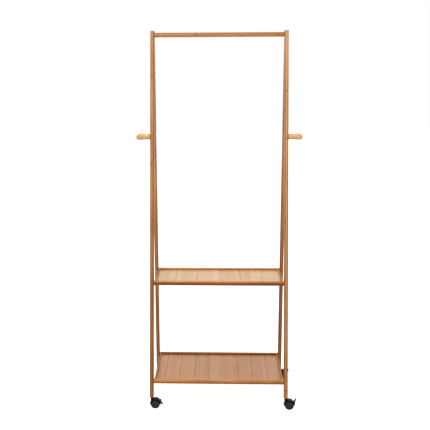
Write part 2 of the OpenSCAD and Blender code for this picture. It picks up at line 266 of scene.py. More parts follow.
def joint_rings(g, look, at, seed):
    """The dark ring at each joint of a strip, its soft halo, and the wobble that both follow."""
    wobble = g.noise(g.join(at.across, at.through, g.math("MULTIPLY", at.along, 0.15)), scale=160)
    cell = g.math("ADD", g.math("DIVIDE", at.along, look.pitch), g.math("MULTIPLY", at.own[0], 7.0))
    cell_number = g.math("FLOOR", cell)
    luck = g.chance(at.strip, seed, g.math("ADD", cell_number, 0.5))
    ring_at = g.math("ADD", g.scale_to(luck[0], 0.25, 0.75), cell_number)
    gap = g.math("MULTIPLY", g.math("SUBTRACT", cell, ring_at), look.pitch)
    gap = g.math("ADD", gap, g.scale_to(wobble, -RING_WOBBLE, RING_WOBBLE))
    far = g.math("ABSOLUTE", gap)
    shown = g.fade(luck[1], 0.15, 0.55)
    ring = g.math("MULTIPLY", g.fade(far, RING_NEAR, RING_FAR, 1.0, 0.0), shown)
    halo = g.math("MULTIPLY", g.fade(far, HALO_NEAR, HALO_FAR, 1.0, 0.0), shown)
    return ring, halo, wobble


def fibres(g, at, halo, wobble):
    """Fine fibres, broader streaks and dark bundles, which bend a little round the joint rings."""
    bend = g.math("MULTIPLY", g.math("MULTIPLY", halo, wobble), FIBRE_BEND)
    across = g.math("ADD", at.across, bend)
    place = g.join(across, at.through, g.math("MULTIPLY", at.along, FIBRE_STRETCH))
    fibre = g.noise(place, scale=1100, detail=3, roughness=0.6)
    streak = g.noise(place, scale=330, detail=2)
    bundle_place = g.join(across, at.through, g.math("MULTIPLY", at.along, BUNDLE_STRETCH))
    bundle = g.fade(g.noise(bundle_place, scale=2300, detail=1), 0.60, 0.72)
    return fibre, streak, bundle


def glue_lines(g, at, grain):
    """The thin line between two strips."""
    off_middle = g.math("ABSOLUTE", g.math("SUBTRACT", at.in_strip, 0.5))
    width = GLUE_WIDTH / grain.strip
    return g.fade(off_middle, 0.5 - 2 * width, 0.5 - 0.4 * width)


def bamboo_tone(g, look, grain, at, shift, fibre, streak):
    """How light the surface is, from 0 to 1."""
    cloud_place = g.join(at.across, at.through, g.math("MULTIPLY", at.along, CLOUD_STRETCH))
    cloud = g.noise(cloud_place, scale=14, detail=1)
    tone = g.scale_to(at.own[1], 0.5 + shift - look.strips / 2, 0.5 + shift + look.strips / 2)
    for part, weight in ((fibre, 0.42), (streak, 0.34), (cloud, 0.34)):
        tone = g.math("ADD", tone, g.math("MULTIPLY", g.math("SUBTRACT", part, 0.5), weight))
    if grain.strips:
        side = g.math("SUBTRACT", g.math("DIVIDE", at.count, grain.strips), 0.5)
        outer = g.fade(g.math("ABSOLUTE", side), 0.10, 0.34, look.core / 2, -look.core / 2)
        tone = g.math("ADD", g.math("ADD", tone, outer), g.math("MULTIPLY", side, look.tilt))
    # Painted light: the tone rises from the rack's foot to its top, standing for the lamps above lighting the top
    # more.
    if look.painted_top_light:
        height = g.fade(g.split(g.object_place())[2], 0.0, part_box("front_left_leg")[1].z)
        tone = g.math("ADD", tone, g.scale_to(height, -look.painted_top_light, look.painted_top_light))
    return tone


def painted_gap_shade(g, at, grain, seed):
    """Painted shade along the joints between boards, some stronger than others."""
    place = g.math("DIVIDE", g.math("SUBTRACT", at.across, grain.strips_from), grain.board)
    off_joint = g.math("MULTIPLY", g.math("PINGPONG", place, 0.5), grain.board)
    luck = g.chance(g.math("ROUND", place), seed, 0.5)
    strength = g.scale_to(luck[0], FAINT_GAP_SHADE, STRONG_GAP_SHADE)
    return g.math("MULTIPLY", g.fade(off_joint, GAP_SHADE_NEAR, GAP_SHADE_FAR, 1.0, 0.0), strength)


def bamboo(name, look, grain, seed, shift=0.0):
    """Glued bamboo strips under thin lacquer, with fibres, dark bundles, joint rings and glue lines."""
    g = Graph(name)
    at = BambooPlace(g, grain, seed)
    ring, halo, wobble = joint_rings(g, look, at, seed)
    fibre, streak, bundle = fibres(g, at, halo, wobble)
    glue = glue_lines(g, at, grain)

    tone = bamboo_tone(g, look, grain, at, shift, fibre, streak)
    colour = g.ramp(tone, *zip((0.12, 0.5, 0.88), look.colours))
    warm = g.mix(at.own[2], (1.03, 0.985, 0.93, 1), (0.985, 1.0, 1.06, 1))
    colour = g.mix(1.0, colour, warm, "MULTIPLY")
    for mask, tint, weight in (
        (bundle, BUNDLE_TINT, 0.55),
        (glue, GLUE_TINT, 0.75),
        (halo, HALO_TINT, 0.55 * look.marks),
        (ring, RING_TINT, 0.80 * look.marks),
    ):
        colour = g.mix(g.math("MULTIPLY", mask, weight), colour, tint, "MULTIPLY")
    # Painted shade darkens the gaps between boards.
    if grain.board:
        colour = g.mix(painted_gap_shade(g, at, grain, seed), colour, GAP_SHADE_TINT, "MULTIPLY")

    height = g.math("MULTIPLY", fibre, 0.5)
    for mask, rise in ((bundle, -0.35), (glue, -0.9), (ring, 0.8), (streak, 0.25)):
        height = g.math("ADD", height, g.math("MULTIPLY", mask, rise))
    handled = g.noise(at.point, scale=35, detail=3)
    rough = g.scale_to(fibre, 0.40, 0.60)
    rough = g.math("ADD", rough, g.scale_to(handled, -0.08, 0.08))
    rough = g.math("ADD", rough, g.math("MULTIPLY", bundle, 0.08))
    g.surface(
        Base_Color=colour, Roughness=rough, Normal=g.bump(height, 0.12 * MM, 0.6),
        Specular_IOR_Level=0.10, Coat_Weight=0.7, Coat_IOR=1.25, Coat_Roughness=0.2,
    )
    return g.material


LEG_SHIFTS = {"front_left": -0.05, "front_right": 0.0, "rear_left": -0.05, "rear_right": 0.0}
RAIL_SHIFTS = {
    "mid_front_rail": -0.20, "mid_rear_rail": -0.04, "lower_front_rail": -0.10, "lower_rear_rail": -0.16,
}
# The leg looks carry painted light: their tone rises towards the top of the rack.
FRONT_LEG_LOOK = Look(
    srgb(104, 54, 6), srgb(139, 87, 30), srgb(176, 130, 80), strips=0.3, core=0.34, marks=1.2, painted_top_light=0.18
)
REAR_LEG_LOOK = Look(
    srgb(106, 53, 10), srgb(142, 84, 34), srgb(180, 127, 78), strips=0.3, core=0.18, marks=1.2, painted_top_light=0.16
)
FRONT_RAIL_LOOK = Look(srgb(98, 50, 8), srgb(146, 88, 26), srgb(216, 164, 102), strips=0.25, tilt=0.68)
RAIL_LOOK = Look(srgb(98, 50, 8), srgb(144, 86, 26), srgb(192, 142, 88), strips=0.3, tilt=0.4)
TOP_RAIL_LOOK = Look(
    srgb(104, 60, 16), srgb(140, 90, 36), srgb(174, 125, 72), strips=0.1, core=0.25, tilt=-0.65
)
PALE_LOOK = Look(
    srgb(160, 117, 70), srgb(177, 137, 92), srgb(192, 157, 116), strips=0.34, marks=0.4, pitch=0.17
)
TAN_LOOK = Look(
    srgb(153, 101, 48), srgb(173, 121, 67), srgb(189, 140, 88), strips=0.24, marks=0.45, pitch=0.17
)
LEG_STRIPS = 3
RAIL_STRIPS = 3
SIDE_RAIL_STRIPS = 2
MID_SLAT_STRIPS = 4
LOWER_SLAT_STRIPS = 3
LEG_SEED, TOP_RAIL_SEED, RAIL_SEED, SIDE_RAIL_SEED, SLAT_SEED = 3.0, 11.0, 21.0, 31.0, 41.0


def leg_grain(corner):
    """Strips stand side by side across a leg, and follow its lean."""
    end = -1 if corner.startswith("rear") else 1
    lean = LEAN * end
    foot = joint_place("front_left_swivel")
    across_foot = -abs(foot.y) * math.cos(LEAN) - foot.z * math.sin(LEAN)
    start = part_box(f"{corner}_leg")[0].x
    return Grain("X", "Y", "Z", LEG_WIDTH / LEG_STRIPS, start, LEG_STRIPS, lean, (0, across_foot * end, 0))


# ---------------------------------------------------------------- other materials

PLASTIC_GRAIN = 0.35 * MM


def turned_wood(name, light, dark):
    """Pale close-grained wood turned on a lathe, with rays and tool rings."""
    g = Graph(name)
    place = g.object_place()
    x, y, z = g.split(place)
    long_place = g.join(g.math("MULTIPLY", x, 0.06), y, z)
    growth = g.noise(long_place, scale=260, detail=4, roughness=0.62)
    pore = g.fade(g.noise(long_place, scale=2600, detail=1), 0.62, 0.74)
    fleck = g.fade(g.noise(g.join(g.math("MULTIPLY", x, 0.5), y, z), scale=1500), 0.60, 0.70)
    ring = g.noise(g.join(x, 0.0, 0.0), scale=1400, detail=1)
    cloud = g.noise(place, scale=45, detail=2)
    tone = g.math("ADD", g.math("MULTIPLY", growth, 0.7), g.math("MULTIPLY", cloud, 0.45))
    colour = g.ramp(tone, (0.30, dark), (0.80, light))
    colour = g.mix(g.math("MULTIPLY", pore, 0.35), colour, (0.62, 0.48, 0.36, 1), "MULTIPLY")
    colour = g.mix(g.math("MULTIPLY", fleck, 0.25), colour, (1.10, 1.02, 0.92, 1), "MULTIPLY")
    height = g.math("ADD", g.math("MULTIPLY", ring, 0.6), g.math("MULTIPLY", pore, -0.5))
    g.surface(
        Base_Color=colour, Roughness=g.scale_to(growth, 0.30, 0.50), Normal=g.bump(height, 0.08 * MM, 0.6),
        Specular_IOR_Level=0.2, Coat_Weight=0.6, Coat_IOR=1.35, Coat_Roughness=0.16,
    )
    return g.material


def scaled(colour, factor):
    """A colour made darker or lighter."""
    return tuple(part * factor for part in colour[:3]) + (1,)


def moulded_plastic(name, colour, worn, rough, shine):
    """Moulded plastic: fine spark-eroded grain, soft gloss changes, pale scuffs and dust."""
    g = Graph(name)
    place = g.object_place()
    grain = g.noise(place, scale=1 / PLASTIC_GRAIN, detail=1)
    flow = g.noise(place, scale=60, detail=3)
    scuff_place = g.vector("MULTIPLY", place, (1.0, 0.25, 3.0))
    scuff = g.fade(g.noise(scuff_place, scale=420, detail=4, roughness=0.7), 0.60, 0.78)
    shade = g.mix(flow, scaled(colour, 0.8), scaled(colour, 1.2))
    shade = g.mix(g.math("MULTIPLY", scuff, 0.35), shade, worn)
    uneven = g.scale_to(flow, rough - 0.08, rough + 0.08)
    uneven = g.math("ADD", uneven, g.math("MULTIPLY", scuff, 0.15))
    height = g.math("ADD", grain, g.math("MULTIPLY", scuff, -0.5))
    g.surface(
        Base_Color=shade, Roughness=uneven, Normal=g.bump(height, 0.04 * MM, 0.5),
        IOR=1.49, Specular_IOR_Level=shine,
    )
    return g.material


def metal(name, colour, low, high, along=(1, 1, 1)):
    """Plated metal with fine drawing marks along one axis and a little tarnish."""
    g = Graph(name)
    place = g.object_place()
    marks = g.noise(g.vector("MULTIPLY", place, along), scale=1800, detail=2)
    tarnish = g.noise(place, scale=220, detail=4, roughness=0.65)
    shade = g.mix(g.fade(tarnish, 0.35, 0.75), colour, scaled(colour, 0.62))
    rough = g.math("ADD", g.scale_to(marks, low, high), g.scale_to(tarnish, -0.06, 0.08))
    g.surface(Base_Color=shade, Metallic=1.0, Roughness=rough, Normal=g.bump(marks, 0.02 * MM, 0.4))
    return g.material


PEG_WOOD = turned_wood("peg_wood", srgb(192, 154, 104), srgb(148, 100, 54))
HOOD_PLASTIC = moulded_plastic("hood_plastic", srgb(7, 7, 6), srgb(32, 31, 30), 0.36, 0.08)
TYRE_PLASTIC = moulded_plastic("tyre_plastic", srgb(3, 3, 3), srgb(20, 20, 19), 0.50, 0.04)
HUB_PLASTIC = moulded_plastic("hub_plastic", srgb(39, 39, 36), srgb(60, 59, 56), 0.42, 0.09)
LEVER_PLASTIC = moulded_plastic("lever_plastic", srgb(7, 7, 7), srgb(32, 31, 30), 0.36, 0.08)
ZINC = metal("zinc_steel", srgb(196, 197, 198), 0.24, 0.42, (1, 1, 0.05))
BLACK_STEEL = metal("black_steel", srgb(50, 49, 48), 0.30, 0.48)
BRASS = metal("brass", srgb(206, 168, 92), 0.22, 0.40)


# ---------------------------------------------------------------- mesh building

ARC_STEPS = 6
NEARLY_STRAIGHT = math.radians(179)
ON_AXIS = 1e-9
SAME_POINT = 1e-7
SHARP_EDGE = math.radians(28)


def new_piece(name, mesh_builder):
    """A new object whose mesh is made by a function that fills a bmesh."""
    bm = bmesh.new()
    mesh_builder(bm)
    bmesh.ops.recalc_face_normals(bm, faces=bm.faces)
    mesh = bpy.data.meshes.new(name)
    bm.to_mesh(mesh)
    bm.free()
    obj = bpy.data.objects.new(name, mesh)
    bpy.context.scene.collection.objects.link(obj)
    return obj


def add_rod(bm, radius, start, end, segments=64):
    """A closed cylinder from one point to another."""
    start, end = Vector(start), Vector(end)
    turn = (end - start).to_track_quat("Z", "Y").to_matrix().to_4x4()
    place = Matrix.Translation((start + end) / 2) @ turn
    bmesh.ops.create_cone(
        bm, cap_ends=True, segments=segments, radius1=radius, radius2=radius,
        depth=(end - start).length, matrix=place,
    )


def add_block(bm, low, high):
    low, high = Vector(low), Vector(high)
    place = Matrix.Translation((low + high) / 2) @ Matrix.Diagonal((*(high - low), 1))
    bmesh.ops.create_cube(bm, size=1, matrix=place)


def rounded(points):
    """A closed outline of (x, y, corner radius) with each corner drawn as an arc."""
    outline = []
    for i, (x, y, radius) in enumerate(points):
        here = Vector((x, y))
        back = (Vector(points[i - 1][:2]) - here).normalized()
        on = (Vector(points[(i + 1) % len(points)][:2]) - here).normalized()
        angle = back.angle(on)
        if radius <= 0 or angle > NEARLY_STRAIGHT:
            outline.append(here)
            continue
        reach = radius / math.tan(angle / 2)
        centre = here + (back + on).normalized() * (radius / math.sin(angle / 2))
        first, last = here + back * reach - centre, here + on * reach - centre
        sweep = first.angle_signed(last)
        for k in range(ARC_STEPS + 1):
            part = Matrix.Rotation(-sweep * k / ARC_STEPS, 2) @ first
            outline.append(centre + part)
    return outline


def add_lathe(bm, outline, segments=96):
    """A closed outline of (radius, height) turned about Z."""
    rings = []
    for k in range(segments):
        turn = 2 * math.pi * k / segments
        cos, sin = math.cos(turn), math.sin(turn)
        rings.append([bm.verts.new((radius * cos, radius * sin, height)) for radius, height in outline])
    for k, ring in enumerate(rings):
        after = rings[(k + 1) % segments]
        for i in range(len(outline)):
            j = (i + 1) % len(outline)
            if ring[i].co.xy.length + ring[j].co.xy.length > ON_AXIS:
                bm.faces.new((ring[i], ring[j], after[j], after[i]))
    bmesh.ops.remove_doubles(bm, verts=bm.verts, dist=SAME_POINT)


def carve(obj, tools, operation="DIFFERENCE"):
    """Cuts, joins or limits a piece with other pieces, which are used up."""
    for tool in tools:
        modifier = obj.modifiers.new(tool.name, "BOOLEAN")
        modifier.operation = operation
        modifier.object = tool
        modifier.solver = "EXACT"
    settle(obj)
    for tool in tools:
        bpy.data.objects.remove(tool)


def settle(obj):
    """Applies all of a piece's modifiers."""
    bpy.context.view_layer.update()
    shape = obj.evaluated_get(bpy.context.evaluated_depsgraph_get())
    mesh = bpy.data.meshes.new_from_object(shape)
    obj.modifiers.clear()
    obj.data = mesh


def soften(obj, radius):
    """Rounds a piece's sharp edges and shades the rest smooth."""
    modifier = obj.modifiers.new("soften", "BEVEL")
    modifier.width = radius
    modifier.segments = 2
    modifier.limit_method = "ANGLE"
    modifier.angle_limit = SHARP_EDGE
    modifier.use_clamp_overlap = True
    settle(obj)
    shade_smooth(obj)


def shade_smooth(obj, sharp=35):
    """Smooth shading, except at edges that turn by more than this many degrees."""
    for face in obj.data.polygons:
        face.use_smooth = True
    obj.data.set_sharp_from_angle(angle=math.radians(sharp))


def dress(obj, *materials):
    """Gives a piece or a CAD node its materials."""
    obj.data.materials.clear()
    for material in materials:
        obj.data.materials.append(material)


def stand_in(obj, body, slot, *nodes):
    """The piece replaces CAD nodes and rides on their body; the slot is not used."""
    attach(obj, body)
    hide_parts(*nodes)


def body_of_node(node):
    return next(body for body, nodes in bodies.items() if node in nodes)


# ---------------------------------------------------------------- casters

RUN_GAP = 0.5 * MM
PIN_FIT = 0.05 * MM

AXLE_R = 2 * MM
AXLE_HEAD_R = 2.8 * MM
AXLE_HEAD_T = 1.2 * MM

TYRE_DEPTH = 4.6 * MM
HUB_RECESS = 1.1 * MM
AXLE_POCKET_R = 3.25 * MM
AXLE_POCKET_DEPTH = 1.9 * MM
POCKETS = 5
POCKET_R = 2.7 * MM
POCKET_AT = 8.25 * MM
POCKET_DEPTH = 3.9 * MM

HOOD_WALL = 2 * MM
HOOD_SKIRT = 2 * MM
HOOD_LIP_R = 1.5 * MM
BOSS_R = 5.5 * MM
PIN_HOLE_R = 3.05 * MM
PIN_FOOT = 7 * MM
LUG_R = 4 * MM
RIB_FROM, RIB_TO = -0.5 * MM, 9 * MM
RIB_SIDE, RIB_HALF = 3.2 * MM, 0.7 * MM
RIB_LOW, RIB_HIGH = 9 * MM, 5.5 * MM

LEVER_DOWN = math.radians(-57)
LEVER_UP = math.radians(64)
LEVER_LENGTH = 17 * MM
LEVER_HALF = 9 * MM
LEVER_THICK = 2.6 * MM
LEVER_LIP_R = 2.4 * MM
LEVER_SLOT_R = 4.15 * MM
BARREL_R = 2.8 * MM
TRUNNION_R = 1.5 * MM
CAM_R = 1.4 * MM
CAM_REACH = 2.4 * MM
PAD_RIBS = (5.6 * MM, 7.6 * MM, 9.6 * MM, 11.6 * MM)
PAD_RIB_W = 0.9 * MM
PAD_RIB_RISE = 0.45 * MM


class Caster:
    """One caster's measures, all read from the frame. Pieces are drawn about its swivel axis at the floor."""

    def __init__(self, corner):
        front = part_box(f"{corner}_front_wheel")
        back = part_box(f"{corner}_back_wheel")
        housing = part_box(f"{corner}_housing")
        swivel = joint_place(f"{corner}_swivel")
        pivot = joint_place(f"{corner}_brake")
        self.corner = corner
        self.place = Matrix.Translation((swivel.x, swivel.y, 0))
        self.wheel_r = (front[1].z - front[0].z) / 2
        self.wheel_w = front[1].y - front[0].y
        self.half_w = (back[1].y - front[0].y) / 2
        self.web = back[0].y - front[1].y - 2 * RUN_GAP
        self.trail = (front[0].x + front[1].x) / 2 - swivel.x
        self.hood_r = swivel.x + self.trail - housing[0].x
        self.boss_top = housing[1].z
        self.pivot = Vector((pivot.x - swivel.x, 0, pivot.z))
        opens_up = next(j for j in frame["joints"] if j["name"] == f"{corner}_brake")["range_deg"][1] > 0
        self.lever_angle = LEVER_DOWN if opens_up else LEVER_UP

    def put(self, obj):
        """Moves a piece from the swivel axis to its corner of the rack."""
        obj.data.transform(self.place)


def wheel_outline(caster):
    """Half a wheel's section as (radius, distance from its inner face, corner radius)."""
    radius, width = caster.wheel_r, caster.wheel_w
    rim = radius - TYRE_DEPTH
    return rounded([
        (AXLE_R + PIN_FIT, 0, 0),
        (rim - 1 * MM, 0, 0),
        (rim, 0.6 * MM, 0.3 * MM),
        (radius - 0.3 * MM, 0.6 * MM, 1.1 * MM),
        (radius, width / 2, 30 * MM),
        (radius - 0.3 * MM, width, 1.5 * MM),
        (rim + HUB_RECESS, width, 0.5 * MM),
        (rim, width - HUB_RECESS, 0.4 * MM),
        (AXLE_POCKET_R + 2 * MM, width - 0.9 * MM, 0.5 * MM),
        (AXLE_POCKET_R + 1.1 * MM, width - 0.2 * MM, 0.4 * MM),
        (AXLE_POCKET_R, width - 0.2 * MM, 0.2 * MM),
        (AXLE_POCKET_R, width - AXLE_POCKET_DEPTH, 0),
        (AXLE_R + PIN_FIT, width - AXLE_POCKET_DEPTH, 0),
    ])


def make_wheel(caster, which):
    """A black tyre round a grey hub with five pockets and a boss for the axle."""
    outer = -1 if which == "front" else 1
    name = f"{caster.corner}_{which}_wheel"
    wheel = new_piece(name + "_look", lambda bm: add_lathe(bm, wheel_outline(caster)))
    tools = []
    for k in range(POCKETS):
        turn = math.radians(90) + 2 * math.pi * k / POCKETS
        at = Vector((POCKET_AT * math.cos(turn), POCKET_AT * math.sin(turn), 0))
        deep = at + Vector((0, 0, caster.wheel_w - POCKET_DEPTH))
        out = at + Vector((0, 0, caster.wheel_w + 1 * MM))
        tools.append(new_piece("pocket", lambda bm: add_rod(bm, POCKET_R, deep, out, 32)))
    carve(wheel, tools)
    soften(wheel, 0.25 * MM)
    dress(wheel, TYRE_PLASTIC, HUB_PLASTIC)
    hub_r = caster.wheel_r - TYRE_DEPTH + 0.1 * MM
    for face in wheel.data.polygons:
        corners = [wheel.data.vertices[v].co.xy for v in face.vertices]
        middle = sum(corners, Vector((0, 0))) / len(corners)
        face.material_index = 1 if middle.length < hub_r else 0
    inner_y = outer * (caster.web / 2 + RUN_GAP)
    upright = Matrix.Rotation(math.radians(-90 * outer), 4, "X")
    wheel.data.transform(Matrix.Translation((caster.trail, inner_y, caster.wheel_r)) @ upright)
    caster.put(wheel)
    stand_in(wheel, body_of_node(name), "caster_wheel", name)


def across_rod(name, radius, centre, half, segments=64):
    """A rod along Y, used as a tool or joined into a piece."""
    centre = Vector(centre)
    step = Vector((0, half, 0))
    return new_piece(name, lambda bm: add_rod(bm, radius, centre - step, centre + step, segments))


def make_hood(caster):
    """The hood over both wheels, with its web, the ribbed boss under the leg and the lugs for the lever."""
    axle = Vector((caster.trail, 0, caster.wheel_r))
    bottom = caster.wheel_r - HOOD_SKIRT
    top = caster.boss_top
    hood = across_rod(f"{caster.corner}_hood", caster.hood_r, axle, caster.half_w, 128)
    reach = 2 * caster.hood_r
    low = (caster.trail - reach, -caster.half_w - MM, bottom)
    high = (caster.trail + reach, caster.half_w + MM, reach * 2)
    carve(hood, [new_piece("limit", lambda bm: add_block(bm, low, high))], "INTERSECT")

    pin_foot = caster.wheel_r + PIN_FOOT
    boss = new_piece("boss", lambda bm: add_rod(bm, BOSS_R, (0, 0, pin_foot), (0, 0, top)))
    hub = across_rod("hub", AXLE_R + 4 * MM, axle, caster.web / 2)
    lugs = across_rod("lugs", LUG_R, caster.pivot, caster.half_w - MM)
    ribs = [
        new_piece("rib", lambda bm: add_block(
            bm,
            (RIB_FROM, side * RIB_SIDE - RIB_HALF, top - RIB_LOW),
            (RIB_TO, side * RIB_SIDE + RIB_HALF, top - RIB_HIGH),
        ))
        for side in (-1, 1)
    ]
    lip_at = math.sqrt(caster.hood_r ** 2 - (bottom - caster.wheel_r) ** 2) - 0.1 * MM
    lips = []
    for end in (-1, 1):
        lip = (caster.trail + end * lip_at, 0, bottom + HOOD_LIP_R)
        lips.append(across_rod("lip", HOOD_LIP_R, lip, caster.half_w, 32))
    carve(hood, [boss, hub, lugs, *ribs, *lips], "UNION")

    wells = []
    for side in (-1, 1):
        well = axle + Vector((0, side * (caster.web / 2 + caster.half_w), 0))
        wells.append(across_rod("well", caster.hood_r - HOOD_WALL, well, caster.half_w, 128))
    below, above = (0, 0, pin_foot - MM), (0, 0, top + MM)
    pin_way = new_piece("pin_way", lambda bm: add_rod(bm, PIN_HOLE_R, below, above))
    slot = across_rod("slot", LEVER_SLOT_R, caster.pivot, LEVER_HALF + 0.3 * MM)
    trunnions = across_rod("trunnions", TRUNNION_R + PIN_FIT, caster.pivot, 2 * caster.half_w, 32)
    axle_way = across_rod("axle_way", AXLE_R, axle, 2 * caster.web, 32)
    carve(hood, [*wells, pin_way, slot, trunnions, axle_way])
    soften(hood, 0.45 * MM)
    dress(hood, HOOD_PLASTIC)
    caster.put(hood)
    stand_in(hood, f"{caster.corner}_caster", "caster_plastic", f"{caster.corner}_housing")


def make_lever(caster):
    """The brake lever: a ribbed pad with a rounded lip on a barrel with a cam."""
    half = LEVER_HALF
    middle = (0, 0, 0)
    lever = across_rod(f"{caster.corner}_lever", BARREL_R, middle, half)
    trunnions = across_rod("trunnions", TRUNNION_R, middle, caster.half_w - 1.2 * MM, 32)
    to_pivot = math.atan2(caster.pivot.z - caster.wheel_r, caster.pivot.x - caster.trail)
    cam_turn = to_pivot + math.pi - LEVER_DOWN
    cam_at = Vector((math.cos(cam_turn), 0, math.sin(cam_turn))) * CAM_REACH
    cam = across_rod("cam", CAM_R, cam_at, half - 1.5 * MM, 32)
    pad_end = LEVER_LENGTH - LEVER_LIP_R
    pad_top = LEVER_THICK / 2
    pad = new_piece("pad", lambda bm: add_block(bm, (0, -half + MM, -pad_top), (pad_end, half - MM, pad_top)))
    lip = across_rod("lip", LEVER_LIP_R, (pad_end, 0, 0.9 * MM), half - MM, 48)
    ribs = [
        new_piece("rib", lambda bm: add_block(
            bm, (x, -half + 2 * MM, 0), (x + PAD_RIB_W, half - 2 * MM, pad_top + PAD_RIB_RISE)
        ))
        for x in PAD_RIBS
    ]
    carve(lever, [trunnions, cam, pad, lip, *ribs], "UNION")
    soften(lever, 0.3 * MM)
    dress(lever, LEVER_PLASTIC)
    lever.data.transform(Matrix.Translation(caster.pivot) @ Matrix.Rotation(-caster.lever_angle, 4, "Y"))
    caster.put(lever)
    node = f"{caster.corner}_brake_lever"
    stand_in(lever, body_of_node(node), "brake_plastic", node)


def make_axle(caster):
    """The axle with its two domed heads."""
    node = f"{caster.corner}_axle"
    half = box_size(node).y / 2
    neck = half - AXLE_HEAD_T
    dome, edge = 0.8 * MM, 0.1 * MM
    outline = rounded([
        (0, -half, 0), (AXLE_HEAD_R, -half, dome), (AXLE_HEAD_R, -neck, edge), (AXLE_R, -neck, 0),
        (AXLE_R, neck, 0), (AXLE_HEAD_R, neck, edge), (AXLE_HEAD_R, half, dome), (0, half, 0),
    ])
    axle = new_piece(f"{caster.corner}_axle_look", lambda bm: add_lathe(bm, outline, 48))
    shade_smooth(axle)
    dress(axle, BLACK_STEEL)
    upright = Matrix.Rotation(math.radians(90), 4, "X")
    axle.data.transform(Matrix.Translation((caster.trail, 0, caster.wheel_r)) @ upright)
    caster.put(axle)
    stand_in(axle, f"{caster.corner}_caster", "black_steel", node)


# ---------------------------------------------------------------- pegs

PEG_NECK_R = 12 * MM
PEG_HEAD_R = 14.4 * MM
PEG_TIP_R = 12.7 * MM
PEG_HEAD_L = 11 * MM
PEG_LIFT = 0.5 * MM
PEG_DROP = 1.8 * MM
PEG_NECK_SHARE = 0.42
PEG_BLUNT = 0.62
SWELL_STEPS = 14
TIP_STEPS = 18
DROP_STEPS = 11
AROUND_PEG = 72


def ease(part):
    """A slow start and a slow end between 0 and 1."""
    return part * part * (3 - 2 * part)


def peg_sections(length):
    """A peg's sections as (distance from the leg, height of the centre, radius)."""
    neck, head = PEG_NECK_R, PEG_HEAD_R
    head_at = length - PEG_TIP_R - PEG_HEAD_L
    tip_from = head_at + 2 * MM
    sections = [(0, 0, neck - 0.8 * MM), (0.3 * MM, 0, neck - 0.3 * MM), (0.9 * MM, 0, neck)]
    for k in range(SWELL_STEPS + 1):
        part = k / SWELL_STEPS
        x = head_at * PEG_NECK_SHARE + (head_at * (1 - PEG_NECK_SHARE) + 2 * MM) * part
        sections.append((x, PEG_LIFT * ease(part), neck + (head - neck) * ease(part)))
    for k in range(1, TIP_STEPS):
        turn = math.pi / 2 * k / TIP_STEPS
        fall = (PEG_LIFT + PEG_DROP) * ease(min(1, k / DROP_STEPS))
        x = tip_from + (length - tip_from) * math.sin(turn)
        sections.append((x, PEG_LIFT - fall, head * math.cos(turn) ** PEG_BLUNT))
    return sections


def make_peg(side):
    """A turned peg on the line of its screw: a straight neck, a fuller head and a tip that dips a little."""
    node = "left_peg" if side < 0 else "right_peg"
    low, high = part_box(node)
    root = high.x if side < 0 else low.x
    length = high.x - low.x
    centre = box_centre("peg_screws")
    turns = [2 * math.pi * k / AROUND_PEG for k in range(AROUND_PEG)]

    def build(bm):
        rings = []
        for x, z, radius in peg_sections(length):
            at = Vector((root + side * x, centre.y, centre.z + z))
            rings.append([bm.verts.new(at + radius * Vector((0, math.sin(t), math.cos(t)))) for t in turns])
        for ring, after in zip(rings, rings[1:]):
            for k in range(AROUND_PEG):
                j = (k + 1) % AROUND_PEG
                bm.faces.new((ring[k], ring[j], after[j], after[k]))
        bm.faces.new(rings[0])
        tip = bm.verts.new((root + side * length, centre.y, centre.z - PEG_DROP))
        for k in range(AROUND_PEG):
            bm.faces.new((rings[-1][k], rings[-1][(k + 1) % AROUND_PEG], tip))

    peg = new_piece(node + "_look", build)
    shade_smooth(peg, 50)
    dress(peg, PEG_WOOD)
    stand_in(peg, "rack", "light_wood", node)


# ---------------------------------------------------------------- bolts

BOLT_HEAD_R = 6 * MM
BOLT_HEAD_T = 3 * MM
BOLT_SHANK_R = 3 * MM
BOLT_SOCKET_R = 2 * MM
BOLT_SOCKET_DEPTH = 2 * MM


def bolt_heads():
    """Each bolt's head: the middle of its outer face and the side it is on."""
    mesh = frame["nodes"]["frame_bolts"].data
    places = [(0.0, box_centre("hanging_rail").z)]
    for shelf in SHELVES:
        for end in ("front", "rear"):
            centre = box_centre(f"{shelf}_{end}_rail")
            places.append((centre.y, centre.z))
    face_x = max(v.co.x for v in mesh.vertices)
    return [(side, Vector((side * face_x, y, z))) for side in (-1, 1) for y, z in places]


def make_bolts():
    """Socket-head bolts with a domed rim and a six-sided socket, one solid for each bolt."""
    mesh = frame["nodes"]["frame_bolts"].data
    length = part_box("frame_bolts")[1].x - min(abs(v.co.x) for v in mesh.vertices)
    outline = rounded([
        (0, 0, 0),
        (BOLT_HEAD_R - 0.6 * MM, 0, 0.6 * MM),
        (BOLT_HEAD_R, -0.9 * MM, 0.5 * MM),
        (BOLT_HEAD_R, -BOLT_HEAD_T, 0.2 * MM),
        (BOLT_SHANK_R, -BOLT_HEAD_T, 0),
        (BOLT_SHANK_R, -length + MM, 0),
        (BOLT_SHANK_R - MM, -length, 0),
        (0, -length, 0),
    ])
    bolt = new_piece("bolt", lambda bm: add_lathe(bm, outline, 48))
    inner, outer = (0, 0, -BOLT_SOCKET_DEPTH), (0, 0, MM)
    socket = new_piece("socket", lambda bm: add_rod(bm, BOLT_SOCKET_R, inner, outer, 6))
    carve(bolt, [socket])
    shade_smooth(bolt, 30)
    bolts = new_piece("bolts", lambda bm: None)
    parts = bmesh.new()
    for side, place in bolt_heads():
        turn = Vector((side, 0, 0)).to_track_quat("Z", "Y").to_matrix().to_4x4()
        copy = bolt.data.copy()
        copy.transform(Matrix.Translation(place) @ turn)
        parts.from_mesh(copy)
        bpy.data.meshes.remove(copy)
    parts.to_mesh(bolts.data)
    parts.free()
    bpy.data.objects.remove(bolt)
    dress(bolts, BLACK_STEEL)
    stand_in(bolts, "rack", "black_steel", "frame_bolts")


# ---------------------------------------------------------------- stage

